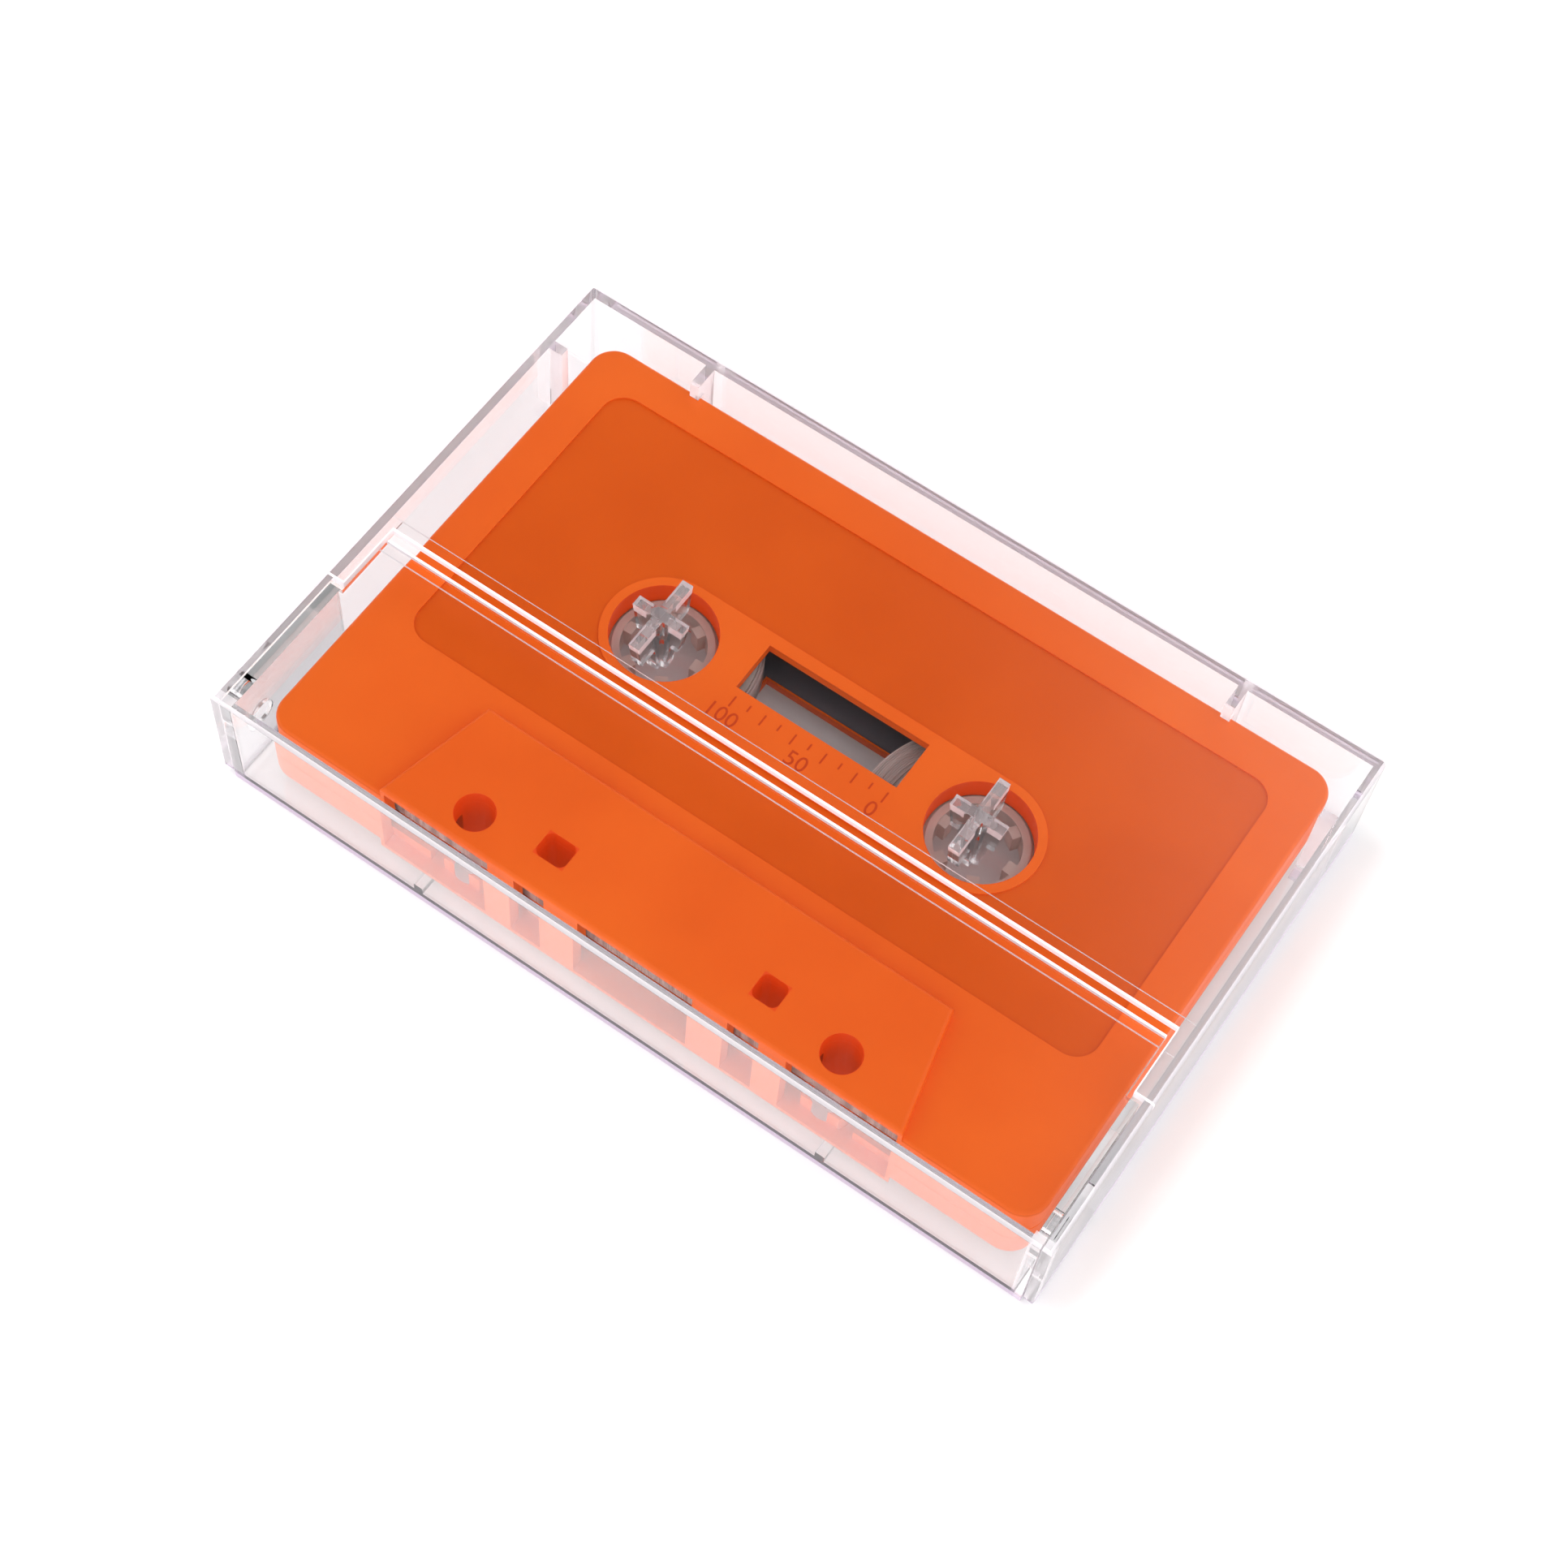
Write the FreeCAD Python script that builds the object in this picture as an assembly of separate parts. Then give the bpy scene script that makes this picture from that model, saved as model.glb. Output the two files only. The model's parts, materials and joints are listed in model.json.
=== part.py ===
import FreeCAD, Part
import math
import os

# Compact audio cassette in a hinged clear case that lies flat, closed, on its front panel.
# Millimetres. The origin is under the middle of the case, +Y points away from the hinge, +Z is up.
# The cassette's own pieces are drawn about its tape edge and mid-plane, then seated in the case.

V = FreeCAD.Vector
UP = V(0, 0, 1)
RIGHT = V(1, 0, 0)
MARGIN = 1.0

# Case
PANEL_THICKNESS = 1.2
BACK_WALL_THICKNESS = 1.15
POCKET_WALL_THICKNESS = 1.1
SPINE_THICKNESS = 1.2
CASE_EDGE_RADIUS = 0.45
CASE_CORNER_RADIUS = 0.8
PANEL_EDGE_CHAMFER = 0.18

# Case, where the two parts meet
WALL_SEAT_GAP = 0.15
SIDE_GAP = 0.2
EAR_FLOOR_GAP = 0.3
RETURN_DEPTH = 27.55
PARTING_GAP = 1.25
TONGUE_LENGTH = 8.8
TONGUE_WIDTH = 2.5
TONGUE_SIDE_GAP = 0.5
TONGUE_END_GAP = 0.9
BACK_LAND_WIDTH = 1.75
POCKET_LAND_WIDTH = 1.5
LAND_STEP = 0.25

# Case hinge: pins on the back part's ears turn in the pocket's side walls, at half the case's height
PIVOT_FROM_SPINE = 5.0
PIVOT_PIN_RADIUS = 1.5
PIVOT_RUNNING_GAP = 0.06
PIVOT_PIN_SETBACK = 0.1
EAR_ARC_MARGIN = 0.52
EAR_CORNER_RADIUS = 2.0
EAR_SWING_GAP = 0.4

# Room round the cassette in the case, which sets the case's outside
CASSETTE_END_GAP = 2.95
CASSETTE_SIDE_SHIFT = 0.7
CASSETTE_FRONT_GAP = 1.55
CASSETTE_FAR_GAP = 2.3
HEAD_TOP_GAP = 1.2
RAIL_HEIGHT = 1.2
RAIL_SPACING = 54.0
RAIL_WIDTH = 1.2
RAIL_LENGTH = 13.0
REST_GAP = 0.35
REST_PAD_DEPTH = 3.0
FIN_THICKNESS = 1.2
FAR_FIN_SPACING = 72.8
FAR_FIN_OVERLAP = 0.9
SIDE_FIN_FROM_FAR = 9.6
SIDE_FIN_REACH = 1.85

# Hub stops of the back part
STOP_BELOW_MIDDLE = 2.4
STOP_BLADE = 1.4
STOP_SHOULDER_DEPTH = 4.5
STOP_LONG_ARM_ROOT = 5.2
STOP_LONG_ARM_SHOULDER = 4.5
STOP_LONG_ARM_STEM = 2.0
STOP_LONG_ARM_TIP = 1.5
STOP_SHORT_ARM_ROOT = 3.4
STOP_SHORT_ARM_SHOULDER = 2.8
STOP_SHORT_ARM_STEM = 1.8
STOP_SHORT_ARM_TIP = 1.4
STOP_TIP_RADIUS = 0.5
STOP_LEAD = 0.3

# Tape
TAPE_WIDTH = 3.81
TAPE_THICKNESS = 0.1
TAPE_FROM_FRONT = 2.0
TAPE_GAP = 0.1
LEFT_PACK_DEPTH = 0.6
RIGHT_PACK_DEPTH = 3.4
PACK_SEAT = 0.05

# Hubs
HUB_SPACING = 42.5
HUB_FROM_FRONT = 34.9
HUB_BORE_RADIUS = 5.0
HUB_RING_WALL = 0.9
HUB_RING_HEIGHT = 3.4
HUB_WEB_HEIGHT = 1.8
HUB_RIM_WALL = 3.3
HUB_RIM_ABOVE_TAPE = 0.2
TOOTH_COUNT = 6
TOOTH_LENGTH = 1.1
TOOTH_WIDTH = 1.5
TOOTH_HEIGHT = 2.8
LEFT_TOOTH_ANGLE = 2.0
RIGHT_TOOTH_ANGLE = -4.0
CLAMP_RIM_WALL = 0.7
CLAMP_ANGLE = 36.0
CLAMP_GAP = 0.08
LEFT_CLAMP_AT = 150.0
RIGHT_CLAMP_AT = 30.0

# Guide rollers and their pins
ROLLER_FROM_SIDE = 7.4
ROLLER_RADIUS = 3.0
ROLLER_FLANGE_RADIUS = 3.4
ROLLER_FLANGE_THICKNESS = 0.3
ROLLER_TAPE_EDGE_GAP = 0.1
ROLLER_BOSS_GAP = 0.25
ROLLER_BOSS_HEIGHT = 0.495
ROLLER_BOSS_RADIUS = 2.0
PIN_RADIUS = 1.0
PIN_RUNNING_GAP = 0.06
PIN_SOCKET_GAP = 0.03
PIN_SOCKET_DEPTH = 0.8

# Cassette shell
CASSETTE_LENGTH = 100.4
CASSETTE_DEPTH = 63.8
SHELL_FLOOR = 1.3
SHELL_WALL = 1.8
FRONT_WALL = 1.5
SHELL_CORNER_RADIUS = 3.2
SHELL_EDGE_RADIUS = 0.5
SEAM_CHAMFER = 0.15
HEAD_RISE = 1.65
HEAD_FLOOR = 1.0
HEAD_FRONT_WIDTH = 68.0
HEAD_BACK_WIDTH = 61.2
HEAD_DEPTH = 15.0
HEAD_WALL = 2.4
HEAD_INNER_DEPTH = 12.0
DIVIDER_START = 13.5
DIVIDER_THICKNESS = 1.0
POST_RADIUS = 2.0
POST_INSET = 5.0

# Openings in the shell
COLLAR_THICKNESS = 1.0
COLLAR_HUB_GAP = 0.4
COLLAR_WEB_GAP = 0.3
WINDOW_HUB_GAP = 4.2
WINDOW_WIDTH = 6.65
WINDOW_BEFORE_HUBS = 0.85
CAPSTAN_HOLE_RADIUS = 2.325
CAPSTAN_HOLE_SPACING = 47.8
CAPSTAN_HOLE_FROM_FRONT = 3.7
PEG_HOLE_FROM_FRONT = 3.6
PEG_HOLE_DEPTH = 3.2
PEG_HOLE_LEFT_CENTRE = -14.15
PEG_HOLE_LEFT_WIDTH = 3.85
PEG_HOLE_RIGHT_CENTRE = 13.8
PEG_HOLE_RIGHT_WIDTH = 3.35
PEG_HOLE_CORNER = 0.9
TUBE_WALL = 0.9
TUBE_CLEAR_OF_TAPE = 0.4
TUBE_BACK_FROM_FRONT = 4.2
MOUTH_HEIGHT = 9.8
CENTRE_MOUTH_WIDTH = 15.0
SMALL_MOUTH_CENTRE = 14.0
SMALL_MOUTH_WIDTH = 4.0
OUTER_MOUTH_CENTRE = 26.5
OUTER_MOUTH_WIDTH = 14.0
TAB_FROM_SIDE = 10.2
TAB_WIDTH = 6.2
TAB_HEIGHT = 2.5
TAB_SLIT = 0.5

# Shallow label recess and the raised land round the hubs and the window
RECESS_DEPTH = 0.25
RECESS_SIDE_BORDER = 5.1
RECESS_FAR_BORDER = 5.0
RECESS_FROM_FRONT = 18.1
RECESS_CORNER_RADIUS = 3.0
LAND_BORDER = 1.1

# Slip sheets
SHEET_THICKNESS = 0.15
SHEET_FROM_SIDE = 8.2
SHEET_FROM_FRONT = 16.0
SHEET_FROM_FAR = 2.8
SHEET_CORNER_RADIUS = 2.0
SHEET_COLLAR_GAP = 0.3
SHEET_WINDOW_GAP = 0.2

# Pressure pad, its spring and the shield plate behind it
PAD_LENGTH = 4.8
PAD_THICKNESS = 2.2
PAD_HEIGHT = 3.6
PAD_TAPE_GAP = 0.15
PAD_GAP = 0.05
SPRING_THICKNESS = 0.2
SPRING_HEIGHT = 4.0
SPRING_CREST_LENGTH = 6.0
SPRING_RISE = 2.6
SPRING_FOOT_START = 8.6
SPRING_FOOT_LENGTH = 2.0
SPRING_FOOT_GAP = 0.05
SPRING_POST_DEPTH = 1.2
SHIELD_END_GAP = 0.5
SHIELD_THICKNESS = 0.5
SHIELD_HEIGHT = 5.0
SHIELD_GAP = 0.05
SHIELD_STOP_DEPTH = 1.0

# Radii and heights that follow from the fits above
HUB_RING_RADIUS = HUB_BORE_RADIUS + HUB_RING_WALL
HUB_HOLE_RADIUS = HUB_RING_RADIUS + COLLAR_HUB_GAP
COLLAR_RADIUS = HUB_HOLE_RADIUS + COLLAR_THICKNESS
HUB_RIM_INNER_RADIUS = COLLAR_RADIUS + COLLAR_HUB_GAP
HUB_RIM_RADIUS = HUB_RIM_INNER_RADIUS + HUB_RIM_WALL
HUB_RIM_HEIGHT = TAPE_WIDTH + HUB_RIM_ABOVE_TAPE * 2
TOOTH_TIP_RADIUS = HUB_BORE_RADIUS - TOOTH_LENGTH
CLAMP_ROOT_RADIUS = HUB_RIM_INNER_RADIUS + CLAMP_RIM_WALL
LEFT_PACK_RADIUS = HUB_RIM_RADIUS + LEFT_PACK_DEPTH
RIGHT_PACK_RADIUS = HUB_RIM_RADIUS + RIGHT_PACK_DEPTH
COLLAR_REACH = HUB_WEB_HEIGHT / 2 + COLLAR_WEB_GAP
LAND_RADIUS = HUB_HOLE_RADIUS + LAND_BORDER
WINDOW_LENGTH = HUB_SPACING - (HUB_HOLE_RADIUS + WINDOW_HUB_GAP) * 2
WINDOW_FROM_FRONT = HUB_FROM_FRONT - WINDOW_BEFORE_HUBS
ROLLER_HEIGHT = TAPE_WIDTH + (ROLLER_TAPE_EDGE_GAP + ROLLER_FLANGE_THICKNESS) * 2
INNER_HALF = ROLLER_HEIGHT / 2 + ROLLER_BOSS_GAP + ROLLER_BOSS_HEIGHT
BODY_HALF = INNER_HALF + SHELL_FLOOR
HEAD_HALF = BODY_HALF + HEAD_RISE
INNER_HEAD_HALF = HEAD_HALF - HEAD_FLOOR

# The case's outside, round the cassette
CASE_LENGTH = CASSETTE_LENGTH + (CASSETTE_END_GAP + BACK_WALL_THICKNESS) * 2
CASE_DEPTH = SPINE_THICKNESS + CASSETTE_FRONT_GAP + CASSETTE_DEPTH + CASSETTE_FAR_GAP + BACK_WALL_THICKNESS
CASE_HEIGHT = PANEL_THICKNESS * 2 + RAIL_HEIGHT + HEAD_HALF * 2 + HEAD_TOP_GAP
PIVOT_HEIGHT = CASE_HEIGHT / 2
EAR_RADIUS = math.hypot(PIVOT_FROM_SPINE, PIVOT_HEIGHT) + EAR_ARC_MARGIN

# Places in the case
HALF_LENGTH = CASE_LENGTH / 2
SPINE_Y = -CASE_DEPTH / 2
FAR_Y = CASE_DEPTH / 2
PIVOT_Y = SPINE_Y + PIVOT_FROM_SPINE
RETURN_Y = SPINE_Y + RETURN_DEPTH
BACK_EDGE_Y = RETURN_Y + PARTING_GAP
TONGUE_END_Y = BACK_EDGE_Y - TONGUE_LENGTH
NOTCH_END_Y = TONGUE_END_Y - TONGUE_END_GAP
EAR_INNER_X = HALF_LENGTH - BACK_WALL_THICKNESS
POCKET_OUTER_X = EAR_INNER_X - SIDE_GAP
POCKET_INNER_X = POCKET_OUTER_X - POCKET_WALL_THICKNESS
WALL_BOTTOM = PANEL_THICKNESS + WALL_SEAT_GAP
PANEL_UNDER = CASE_HEIGHT - PANEL_THICKNESS
CASSETTE_Y = SPINE_Y + SPINE_THICKNESS + CASSETTE_FRONT_GAP
CASSETTE_Z = PANEL_THICKNESS + RAIL_HEIGHT + HEAD_HALF
FIN_BOTTOM = CASSETTE_Z - BODY_HALF

# Places in the cassette
ROLLER_X = CASSETTE_LENGTH / 2 - ROLLER_FROM_SIDE
ROLLER_Y = TAPE_FROM_FRONT + TAPE_THICKNESS + TAPE_GAP + ROLLER_RADIUS
PAD_Y = TAPE_FROM_FRONT + TAPE_THICKNESS + PAD_TAPE_GAP
SPRING_CREST_Y = PAD_Y + PAD_THICKNESS + PAD_GAP
SPRING_FOOT_Y = SPRING_CREST_Y + SPRING_RISE
SPRING_FOOT_END = SPRING_FOOT_START + SPRING_FOOT_LENGTH
SPRING_POST_Y = SPRING_FOOT_Y + SPRING_THICKNESS + SPRING_FOOT_GAP
SHIELD_Y = SPRING_POST_Y + SPRING_POST_DEPTH + SHIELD_GAP
SHIELD_SLOT_END = SHIELD_Y + SHIELD_THICKNESS + SHIELD_GAP


def block(x0, x1, y0, y1, z0, z1):
    return Part.makeBox(x1 - x0, y1 - y0, z1 - z0, V(x0, y0, z0))


def upright(radius, x, y, z0, z1):
    return Part.makeCylinder(radius, z1 - z0, V(x, y, z0), UP)


def ring(outer, inner, x, y, z0, z1):
    return upright(outer, x, y, z0, z1).cut(upright(inner, x, y, z0 - MARGIN, z1 + MARGIN))


def rounded_plate(x0, x1, y0, y1, z0, z1, radius):
    plate = block(x0, x1, y0, y1, z0, z1)
    corners = [e for e in plate.Edges if abs(e.Vertexes[0].Z - e.Vertexes[1].Z) > MARGIN / 100]
    return plate.makeFillet(radius, corners)


def prism(points, z0, z1):
    wire = Part.makePolygon([V(x, y, z0) for x, y in points + points[:1]])
    return Part.Face(wire).extrude(V(0, 0, z1 - z0))


def side_prism(points, x0, x1):
    wire = Part.makePolygon([V(x0, y, z) for y, z in points + points[:1]])
    return Part.Face(wire).extrude(V(x1 - x0, 0, 0))


def front_prism(points, y0, y1):
    wire = Part.makePolygon([V(x, y0, z) for x, z in points + points[:1]])
    return Part.Face(wire).extrude(V(0, y1 - y0, 0))


def fuse_all(shapes):
    return shapes[0].fuse(shapes[1:]).removeSplitter()


def cut_all(shape, tools):
    for tool in tools:
        shape = shape.cut(tool)
    return shape


def level_edges(shape, height, along=""):
    """The edges that lie at one height, or only those of them that run along x or along y."""
    edges = [e for e in shape.Edges if all(abs(v.Z - height) < MARGIN / 1000 for v in e.Vertexes)]
    if along == "x":
        return [e for e in edges if abs(e.Vertexes[0].Y - e.Vertexes[-1].Y) < MARGIN / 1000]
    if along == "y":
        return [e for e in edges if abs(e.Vertexes[0].X - e.Vertexes[-1].X) < MARGIN / 1000]
    return edges


def flipped(shape):
    """The same piece on the cassette's other side: mirrored through its mid-plane."""
    return shape.mirror(V(0, 0, 0), UP)


def seated(shape):
    """Moves a piece from the cassette's own frame to its place in the case."""
    placed = shape.copy()
    placed.translate(V(CASSETTE_SIDE_SHIFT, CASSETTE_Y, CASSETTE_Z))
    return placed


# Case


def blade_profile(middle, root, shoulder, stem, tip):
    """Half widths at the panel, at the shoulder, of the stem below it, and at the tip."""
    level = PANEL_UNDER - STOP_SHOULDER_DEPTH
    end = CASSETTE_Z - STOP_BELOW_MIDDLE
    right = [(root, PANEL_UNDER), (shoulder, level), (stem, level), (tip, end)]
    left = [(-half, z) for half, z in reversed(right)]
    return [(middle + half, z) for half, z in right + left]


def hub_stop(x, y):
    """A cross of two stepped blades: the wide part stays above the hub, the stem reaches down into it."""
    end = CASSETTE_Z - STOP_BELOW_MIDDLE
    half = STOP_BLADE / 2
    long_arm = side_prism(
        blade_profile(y, STOP_LONG_ARM_ROOT, STOP_LONG_ARM_SHOULDER, STOP_LONG_ARM_STEM, STOP_LONG_ARM_TIP),
        x - half, x + half)
    short_arm = front_prism(
        blade_profile(x, STOP_SHORT_ARM_ROOT, STOP_SHORT_ARM_SHOULDER, STOP_SHORT_ARM_STEM, STOP_SHORT_ARM_TIP),
        y - half, y + half)
    long_arm = long_arm.makeFillet(STOP_TIP_RADIUS, level_edges(long_arm, end, "x"))
    short_arm = short_arm.makeFillet(STOP_TIP_RADIUS, level_edges(short_arm, end, "y"))
    return long_arm.fuse(short_arm)


def far_fin(x):
    """Stands inside the far wall and reaches over the cassette's far edge to hold it down."""
    edge = CASSETTE_Y + CASSETTE_DEPTH
    top_of_body = CASSETTE_Z + BODY_HALF + REST_GAP
    wall = FAR_Y - BACK_WALL_THICKNESS
    return side_prism(
        [(edge - FAR_FIN_OVERLAP, PANEL_UNDER), (edge - FAR_FIN_OVERLAP, top_of_body),
         (edge + REST_GAP, top_of_body), (edge + REST_GAP, FIN_BOTTOM),
         (wall, FIN_BOTTOM), (wall, PANEL_UNDER)],
        x - FIN_THICKNESS / 2, x + FIN_THICKNESS / 2)


def side_fin(side):
    y = FAR_Y - SIDE_FIN_FROM_FAR
    x = sorted((side * (EAR_INNER_X - SIDE_FIN_REACH), side * EAR_INNER_X))
    return block(x[0], x[1], y - FIN_THICKNESS / 2, y + FIN_THICKNESS / 2, FIN_BOTTOM, PANEL_UNDER)


def ear(side):
    """The taller end of a side wall, bounded below by an arc about the pivot."""
    x = sorted((side * EAR_INNER_X, side * HALF_LENGTH))
    disc = Part.makeCylinder(EAR_RADIUS, x[1] - x[0], V(x[0], PIVOT_Y, PIVOT_HEIGHT), RIGHT)
    lower = disc.common(block(x[0], x[1], SPINE_Y, FAR_Y, EAR_FLOOR_GAP, PIVOT_HEIGHT))
    corner = [e for e in lower.Edges
              if all(abs(v.Y - SPINE_Y) + abs(v.Z - EAR_FLOOR_GAP) < MARGIN / 100 for v in e.Vertexes)]
    return lower.makeFillet(EAR_CORNER_RADIUS, corner)


def pivot_pin(side):
    x = sorted((side * (POCKET_INNER_X + PIVOT_PIN_SETBACK), side * EAR_INNER_X))
    return Part.makeCylinder(PIVOT_PIN_RADIUS, x[1] - x[0], V(x[0], PIVOT_Y, PIVOT_HEIGHT), RIGHT)


def parting_bevel(edge, inward, reach):
    """Takes the sharp top corner off a panel's cut edge; inward is the side on which the panel lies."""
    low = CASE_HEIGHT - PANEL_EDGE_CHAMFER
    past = edge - inward * MARGIN / 2
    return side_prism(
        [(edge, low), (edge + inward * PANEL_EDGE_CHAMFER, CASE_HEIGHT),
         (edge + inward * PANEL_EDGE_CHAMFER, CASE_HEIGHT + MARGIN), (past, CASE_HEIGHT + MARGIN), (past, low)],
        -reach, reach)


def case_back():
    outer = block(-HALF_LENGTH, HALF_LENGTH, SPINE_Y, FAR_Y, WALL_BOTTOM, CASE_HEIGHT)
    far_corners = [e for e in outer.Edges
                   if all(abs(v.Y - FAR_Y) < MARGIN / 100 for v in e.Vertexes)
                   and abs(e.Vertexes[0].Z - e.Vertexes[1].Z) > MARGIN]
    outer = outer.makeFillet(CASE_CORNER_RADIUS, far_corners)
    outer = outer.makeFillet(CASE_EDGE_RADIUS, level_edges(outer, CASE_HEIGHT))
    outer = outer.makeChamfer(PANEL_EDGE_CHAMFER, level_edges(outer, WALL_BOTTOM))
    inside = block(-EAR_INNER_X, EAR_INNER_X, SPINE_Y - MARGIN, FAR_Y - BACK_WALL_THICKNESS,
                   WALL_BOTTOM - MARGIN, PANEL_UNDER)
    tongue_x = HALF_LENGTH - TONGUE_WIDTH
    over_pocket = block(-tongue_x, tongue_x, SPINE_Y - MARGIN, BACK_EDGE_Y,
                        PANEL_UNDER - MARGIN, CASE_HEIGHT + MARGIN)
    over_walls = block(-EAR_INNER_X, EAR_INNER_X, SPINE_Y - MARGIN, TONGUE_END_Y,
                       PANEL_UNDER - MARGIN, CASE_HEIGHT + MARGIN)
    land = block(-tongue_x, tongue_x, BACK_EDGE_Y - MARGIN, BACK_EDGE_Y + BACK_LAND_WIDTH,
                 PANEL_UNDER - MARGIN, PANEL_UNDER + LAND_STEP)
    parting = parting_bevel(BACK_EDGE_Y, 1, tongue_x)
    body = cut_all(outer, [inside, over_pocket, over_walls, land, parting])
    stop_y = CASSETTE_Y + HUB_FROM_FRONT + STOP_LEAD
    details = []
    for side in (-1, 1):
        details.append(ear(side))
        details.append(pivot_pin(side))
        details.append(side_fin(side))
        details.append(far_fin(side * FAR_FIN_SPACING / 2))
        details.append(hub_stop(side * HUB_SPACING / 2, stop_y))
    return fuse_all([body] + details)


def rest_rail(x):
    """A low rail on the front panel under the cassette's thick head."""
    top = CASSETTE_Z - HEAD_HALF
    y = SPINE_Y + SPINE_THICKNESS
    return block(x - RAIL_WIDTH / 2, x + RAIL_WIDTH / 2, y, y + RAIL_LENGTH, 0, top)


def rest_pad(x):
    """A pad on the front panel under the cassette's far edge."""
    top = CASSETTE_Z - BODY_HALF
    y = CASSETTE_Y + CASSETTE_DEPTH
    return block(x - RAIL_WIDTH / 2, x + RAIL_WIDTH / 2, y - REST_PAD_DEPTH, y, 0, top)


def case_front():
    panel = rounded_plate(-HALF_LENGTH, HALF_LENGTH, SPINE_Y, FAR_Y, 0, PANEL_THICKNESS, CASE_CORNER_RADIUS)
    panel = panel.makeChamfer(PANEL_EDGE_CHAMFER, level_edges(panel, 0) + level_edges(panel, PANEL_THICKNESS))
    notch_length = PIVOT_FROM_SPINE + EAR_SWING_GAP
    notch_length += math.sqrt(EAR_RADIUS ** 2 - (PIVOT_HEIGHT - PANEL_THICKNESS) ** 2)
    notches = []
    for side in (-1, 1):
        x = sorted((side * POCKET_OUTER_X, side * (HALF_LENGTH + MARGIN)))
        notches.append(block(x[0], x[1], SPINE_Y - MARGIN, SPINE_Y + notch_length, -MARGIN, PANEL_THICKNESS + MARGIN))
    panel = cut_all(panel, notches)
    sleeve = block(-POCKET_OUTER_X, POCKET_OUTER_X, SPINE_Y, RETURN_Y, PANEL_EDGE_CHAMFER, CASE_HEIGHT)
    rims = [e for e in level_edges(sleeve, CASE_HEIGHT) if all(abs(v.Y - SPINE_Y) < MARGIN / 100 for v in e.Vertexes)]
    sleeve = sleeve.makeFillet(CASE_EDGE_RADIUS, rims)
    inside = block(-POCKET_INNER_X, POCKET_INNER_X, SPINE_Y + SPINE_THICKNESS, RETURN_Y + MARGIN,
                   PANEL_THICKNESS, PANEL_UNDER)
    notch_x = HALF_LENGTH - TONGUE_WIDTH - TONGUE_SIDE_GAP
    trims = []
    for side in (-1, 1):
        x = sorted((side * notch_x, side * HALF_LENGTH))
        trims.append(block(x[0], x[1], NOTCH_END_Y, RETURN_Y + MARGIN, PANEL_THICKNESS, CASE_HEIGHT + MARGIN))
    land = block(-notch_x, notch_x, RETURN_Y - POCKET_LAND_WIDTH, RETURN_Y + MARGIN,
                 PANEL_UNDER - MARGIN, PANEL_UNDER + LAND_STEP)
    holes = Part.makeCylinder(PIVOT_PIN_RADIUS + PIVOT_RUNNING_GAP, CASE_LENGTH,
                              V(-HALF_LENGTH, PIVOT_Y, PIVOT_HEIGHT), RIGHT)
    parting = parting_bevel(RETURN_Y, -1, notch_x)
    pocket = cut_all(sleeve, [inside, land, holes, parting] + trims)
    rests = [rest_rail(side * RAIL_SPACING / 2) for side in (-1, 1)]
    rests += [rest_pad(side * FAR_FIN_SPACING / 2) for side in (-1, 1)]
    return fuse_all([panel, pocket] + rests)


# Cassette shell


def head_outline(inset, z0, z1):
    front, back = HEAD_FRONT_WIDTH / 2 - inset, HEAD_BACK_WIDTH / 2 - inset
    return prism([(-front, 0), (front, 0), (back, HEAD_DEPTH), (-back, HEAD_DEPTH)], z0, z1)


def shell_outside():
    half = CASSETTE_LENGTH / 2
    body = rounded_plate(-half, half, 0, CASSETTE_DEPTH, 0, BODY_HALF, SHELL_CORNER_RADIUS)
    body = body.makeFillet(SHELL_EDGE_RADIUS, level_edges(body, BODY_HALF))
    body = body.makeChamfer(SEAM_CHAMFER, level_edges(body, 0))
    head = head_outline(0, 0, HEAD_HALF)
    head = head.makeFillet(SHELL_EDGE_RADIUS, level_edges(head, HEAD_HALF))
    return body.fuse(head)


def label_recess():
    half = CASSETTE_LENGTH / 2 - RECESS_SIDE_BORDER
    floor = BODY_HALF - RECESS_DEPTH
    recess = rounded_plate(-half, half, RECESS_FROM_FRONT, CASSETTE_DEPTH - RECESS_FAR_BORDER,
                           floor, BODY_HALF + MARGIN, RECESS_CORNER_RADIUS)
    reach = HUB_SPACING / 2
    land = block(-reach, reach, HUB_FROM_FRONT - LAND_RADIUS, HUB_FROM_FRONT + LAND_RADIUS,
                 floor, BODY_HALF + MARGIN)
    for side in (-1, 1):
        land = land.fuse(upright(LAND_RADIUS, side * reach, HUB_FROM_FRONT, floor, BODY_HALF + MARGIN))
    return recess.cut(land)


def shell_cavity():
    half = CASSETTE_LENGTH / 2 - SHELL_WALL
    inner_radius = SHELL_CORNER_RADIUS - SHELL_WALL
    room = rounded_plate(-half, half, FRONT_WALL, CASSETTE_DEPTH - SHELL_WALL, -MARGIN, INNER_HALF, inner_radius)
    head = HEAD_BACK_WIDTH / 2 - HEAD_WALL
    head_room = block(-head, head, FRONT_WALL, FRONT_WALL + HEAD_INNER_DEPTH, -MARGIN, INNER_HEAD_HALF)
    divider = block(-head, head, DIVIDER_START, DIVIDER_START + DIVIDER_THICKNESS, -MARGIN * 2, HEAD_HALF)
    return room.fuse(head_room).cut(divider)


def peg_hole(centre, width, grow, z0, z1):
    return rounded_plate(centre - width / 2 - grow, centre + width / 2 + grow,
                         PEG_HOLE_FROM_FRONT - grow, PEG_HOLE_FROM_FRONT + PEG_HOLE_DEPTH + grow,
                         z0, z1, PEG_HOLE_CORNER + grow)


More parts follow.
